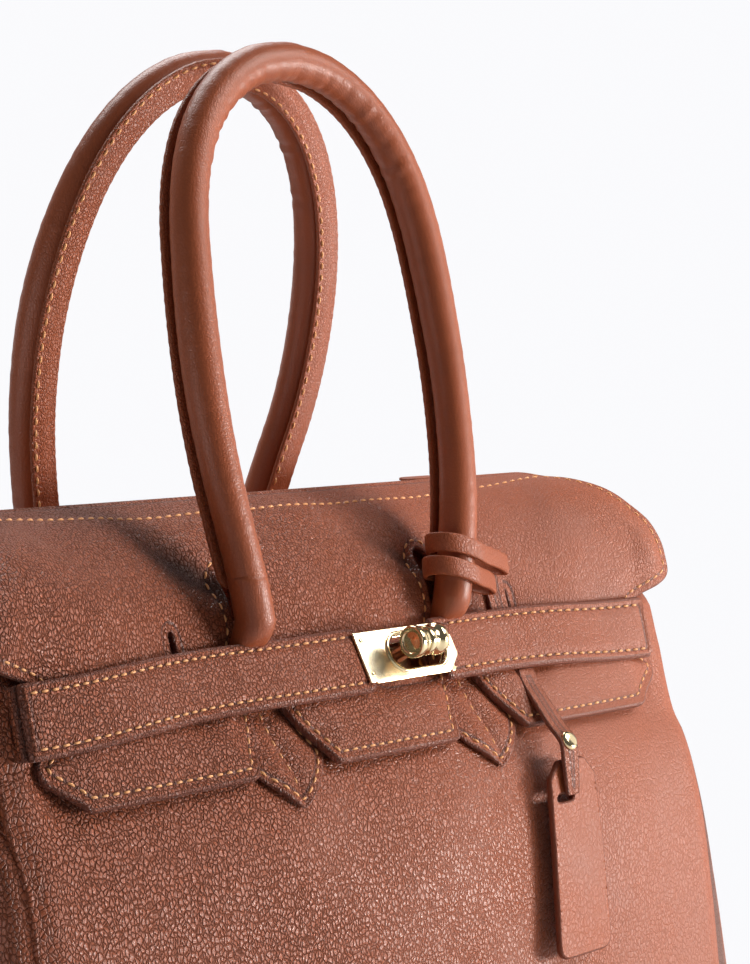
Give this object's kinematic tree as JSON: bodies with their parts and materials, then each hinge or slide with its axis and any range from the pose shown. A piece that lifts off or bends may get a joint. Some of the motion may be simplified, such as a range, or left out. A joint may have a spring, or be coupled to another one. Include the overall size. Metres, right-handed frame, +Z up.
{
  "type": "zip-top leather handbag",
  "caption": "Structured leather handbag with tall tube handles, a zip top, a notched front flap, belt straps with a turnlock and a hanging tag.",
  "frame": {"origin": "on the floor under the middle of the bag, at the feet's undersides", "axes": "+X to the bag's right seen from the front, -Y out of the front with the flap and lock, +Z up"},
  "size_m": [0.3408, 0.179, 0.396],
  "materials": {
    "pebbled_leather": "pebbled full-grain leather, cognac brown, satin",
    "smooth_leather": "the same leather drawn tight and smoother, satin",
    "gold_metal": "polished pale gold plating",
    "zip_fabric": "woven zip tape, brown",
    "lining_fabric": "woven lining, brown"
  },
  "bodies": {
    "bag": {"front_panel": "pebbled_leather", "back_panel": "pebbled_leather", "left_gusset": "pebbled_leather", "right_gusset": "pebbled_leather", "base_panel": "pebbled_leather", "flap": "pebbled_leather", "lining": "lining_fabric", "left_strap_anchor": "pebbled_leather", "right_strap_anchor": "pebbled_leather", "front_left_handle_tab": "smooth_leather", "front_right_handle_tab": "smooth_leather", "rear_left_handle_tab": "smooth_leather", "rear_right_handle_tab": "smooth_leather", "foot_front_left": "gold_metal", "foot_front_right": "gold_metal", "foot_back_left": "gold_metal", "foot_back_right": "gold_metal", "lock_post": "gold_metal", "zip_tape_front": "zip_fabric", "zip_tape_back": "zip_fabric", "zip_teeth_front": "gold_metal", "zip_teeth_back": "gold_metal", "tag_tail": "smooth_leather"},
    "front_handle": {"front_handle": "smooth_leather", "front_handle_seam": "smooth_leather", "tag_loop_lower": "smooth_leather", "tag_loop_upper": "smooth_leather"},
    "rear_handle": {"rear_handle": "smooth_leather", "rear_handle_seam": "smooth_leather"},
    "left_strap": {"left_strap": "pebbled_leather", "top_plate": "gold_metal"},
    "right_strap": {"right_strap": "pebbled_leather", "under_plate": "gold_metal"},
    "toggle": {"lock_toggle": "gold_metal"},
    "zip_slider": {"zip_slider": "gold_metal"},
    "zip_pull": {"zip_pull": "gold_metal"},
    "tag": {"tag_strap": "smooth_leather", "tag_rivet": "gold_metal", "tag_body": "pebbled_leather"}
  },
  "joints": [
    {"name": "front_handle_swing", "type": "hinge", "parent": "bag", "child": "front_handle", "pos_m": [0, -0.0496, 0.2147], "axis": [1, 0, 0], "range_deg": [-1.5, 60]},
    {"name": "rear_handle_swing", "type": "hinge", "parent": "bag", "child": "rear_handle", "pos_m": [0, 0.0496, 0.2147], "axis": [-1, 0, 0], "range_deg": [-1.5, 60]},
    {"name": "left_strap_fold", "type": "hinge", "parent": "bag", "child": "left_strap", "pos_m": [-0.1485, -0.06098, 0.19602], "axis": [0, -0.4875, -0.8731], "range_deg": [0, 100]},
    {"name": "right_strap_fold", "type": "hinge", "parent": "bag", "child": "right_strap", "pos_m": [0.1485, -0.06098, 0.19602], "axis": [0, 0.4875, 0.8731], "range_deg": [0, 60]},
    {"name": "toggle_turn", "type": "hinge", "parent": "bag", "child": "toggle", "pos_m": [0.016, -0.06392, 0.20344], "axis": [0, -0.8731, 0.4875], "range_deg": [0, 90]},
    {"name": "zip_slide", "type": "slide", "parent": "bag", "child": "zip_slider", "axis": [1, 0, 0], "range_m": [-0.212, 0]},
    {"name": "zip_pull_swing", "type": "hinge", "parent": "zip_slider", "child": "zip_pull", "pos_m": [0.108, 0, 0.251], "axis": [0, 1, 0], "range_deg": [0, 150]},
    {"name": "tag_swing", "type": "hinge", "parent": "bag", "child": "tag", "pos_m": [0.0755, -0.0598, 0.1828], "axis": [-1, 0, 0], "range_deg": [0, 35]}
  ],
  "couplings": [
    {"joint": "right_strap_fold", "follows": "left_strap_fold", "ratio": 0.6}
  ]
}
